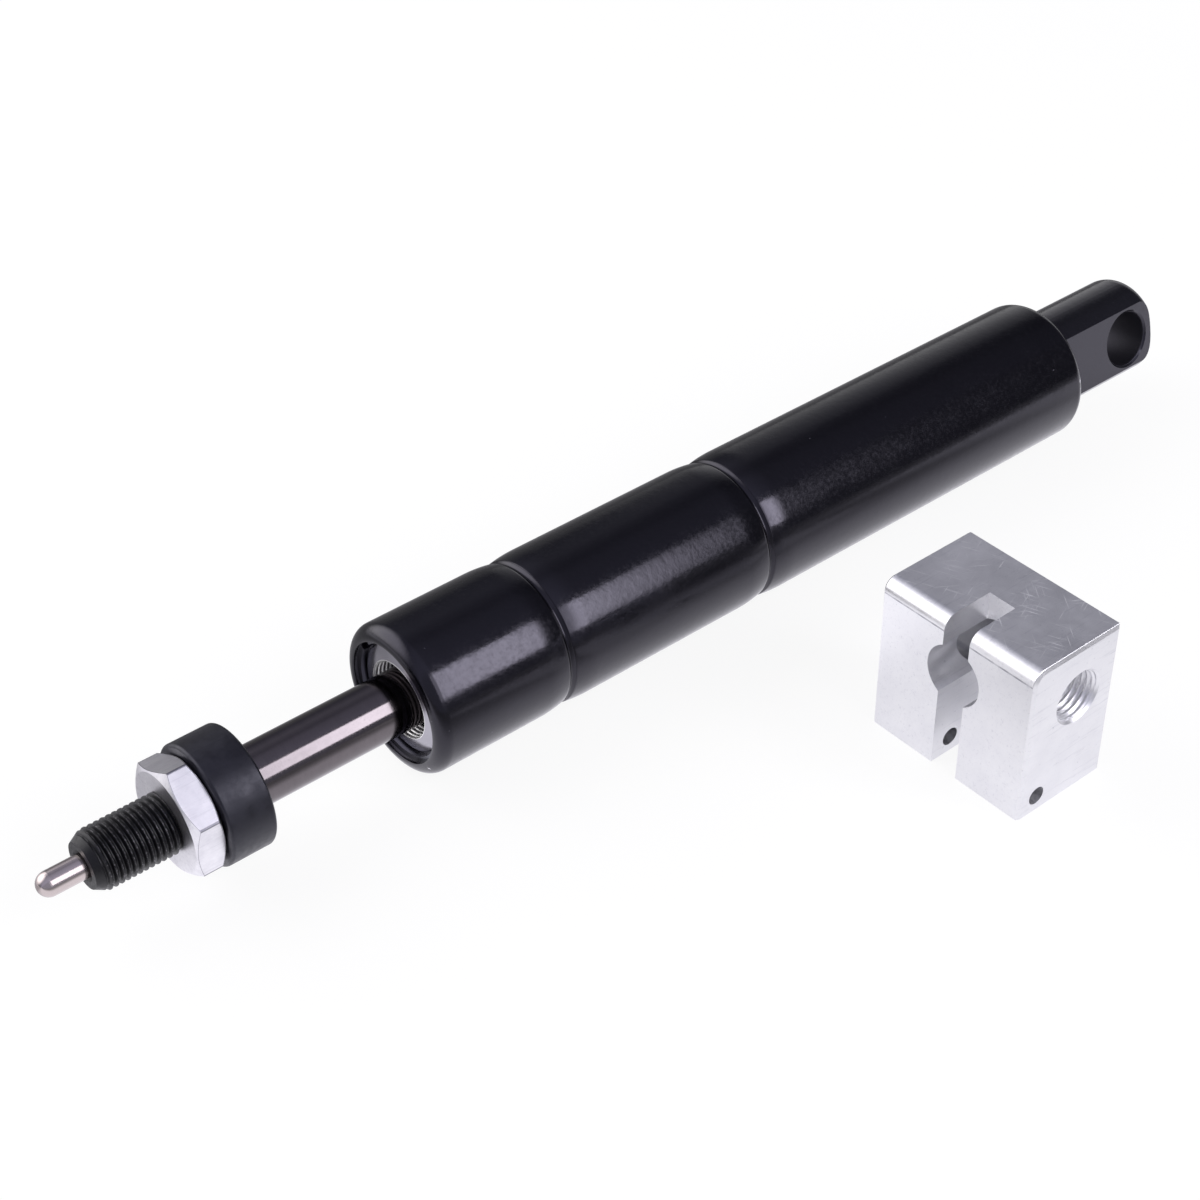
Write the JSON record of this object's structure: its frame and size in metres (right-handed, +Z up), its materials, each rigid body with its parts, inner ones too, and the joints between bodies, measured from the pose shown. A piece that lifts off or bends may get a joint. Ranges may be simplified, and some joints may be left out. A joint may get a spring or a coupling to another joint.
{
  "type": "lockable gas spring with release head",
  "caption": "Lockable gas spring: grooved black tube with an eye lug, polished rod with stop ring, jam nut, threaded end and release pin, and its milled release head",
  "frame": {"origin": "centre of the eye, on the spring's axis", "axes": "+X along the spring from the eye to the release pin; +Z up, with the tube and the release head on a flat surface 13 mm below the origin; +Y from the spring towards the release head"},
  "size_m": [0.2354, 0.0855, 0.029],
  "materials": {
    "tube_paint": "gloss black paint, smooth, with a few specks and one chip at the rear rim",
    "cap_paint": "gloss grey-black coating on the cap's face, bare metal in its threaded bore",
    "lug_paint": "gloss black paint",
    "rod_steel": "polished dark nitrided steel, black on the threaded end",
    "pin_steel": "bright plated steel, rounded tip",
    "nut_steel": "bright zinc plate",
    "stop_rubber": "satin black rubber",
    "seal_rubber": "matte black rubber",
    "inner_steel": "turned steel",
    "bearing_brass": "turned brass",
    "guide_plastic": "moulded plastic",
    "piston_alloy": "turned aluminium",
    "head_alloy": "milled, fine tool marks, lightly scratched"
  },
  "bodies": {
    "tube": {"pressure_tube": "tube_paint", "end_plug": "piston_alloy", "end_plug_seal": "seal_rubber", "eye_lug": "lug_paint", "seal_support_ring": "inner_steel", "rod_seal": "seal_rubber", "seal_backup_ring": "guide_plastic", "rod_guide": "piston_alloy", "rod_guide_seal": "seal_rubber", "guide_bush": "bearing_brass", "rod_wiper": "seal_rubber", "end_cap": "cap_paint", "retaining_ring": "inner_steel"},
    "separator": {"floating_piston": "piston_alloy", "floating_seal_rear": "seal_rubber", "floating_seal_front": "seal_rubber"},
    "piston": {"piston_body": "inner_steel", "piston_wear_band": "guide_plastic", "piston_seal": "seal_rubber", "valve_seat": "bearing_brass", "valve_seat_seal": "seal_rubber", "valve_stem_seal": "seal_rubber", "valve_retainer": "inner_steel"},
    "rod": {"piston_rod": "rod_steel", "stop_ring": "stop_rubber"},
    "nut": {"jam_nut": "nut_steel"},
    "release": {"release_pin": "pin_steel", "valve_tappet": "inner_steel"},
    "head": {"release_head": "head_alloy"}
  },
  "joints": [
    {"name": "rod_slide", "type": "slide", "parent": "tube", "child": "piston", "axis": [-1, 0, 0], "range_m": [0, 0.0276]},
    {"name": "separator_slide", "type": "slide", "parent": "tube", "child": "separator", "axis": [-1, 0, 0], "range_m": [0, 0.0053]},
    {"name": "rod_spin", "type": "hinge", "parent": "piston", "child": "rod", "pos_m": [0.13818, 0, 0], "axis": [1, 0, 0], "continuous": true},
    {"name": "release_press", "type": "slide", "parent": "rod", "child": "release", "axis": [-1, 0, 0], "range_m": [0, 0.0025], "stiffness_N_per_m": 1500, "springref_m": -0.002},
    {"name": "nut_turn", "type": "hinge", "parent": "rod", "child": "nut", "pos_m": [0.2046, 0, 0], "axis": [1, 0, 0], "continuous": true},
    {"name": "head_lift", "type": "slide", "parent": "tube", "child": "head", "axis": [0, 0, 1], "range_m": [0, 0.06]}
  ],
  "couplings": [
    {"joint": "separator_slide", "follows": "rod_slide", "ratio": 0.18904}
  ]
}
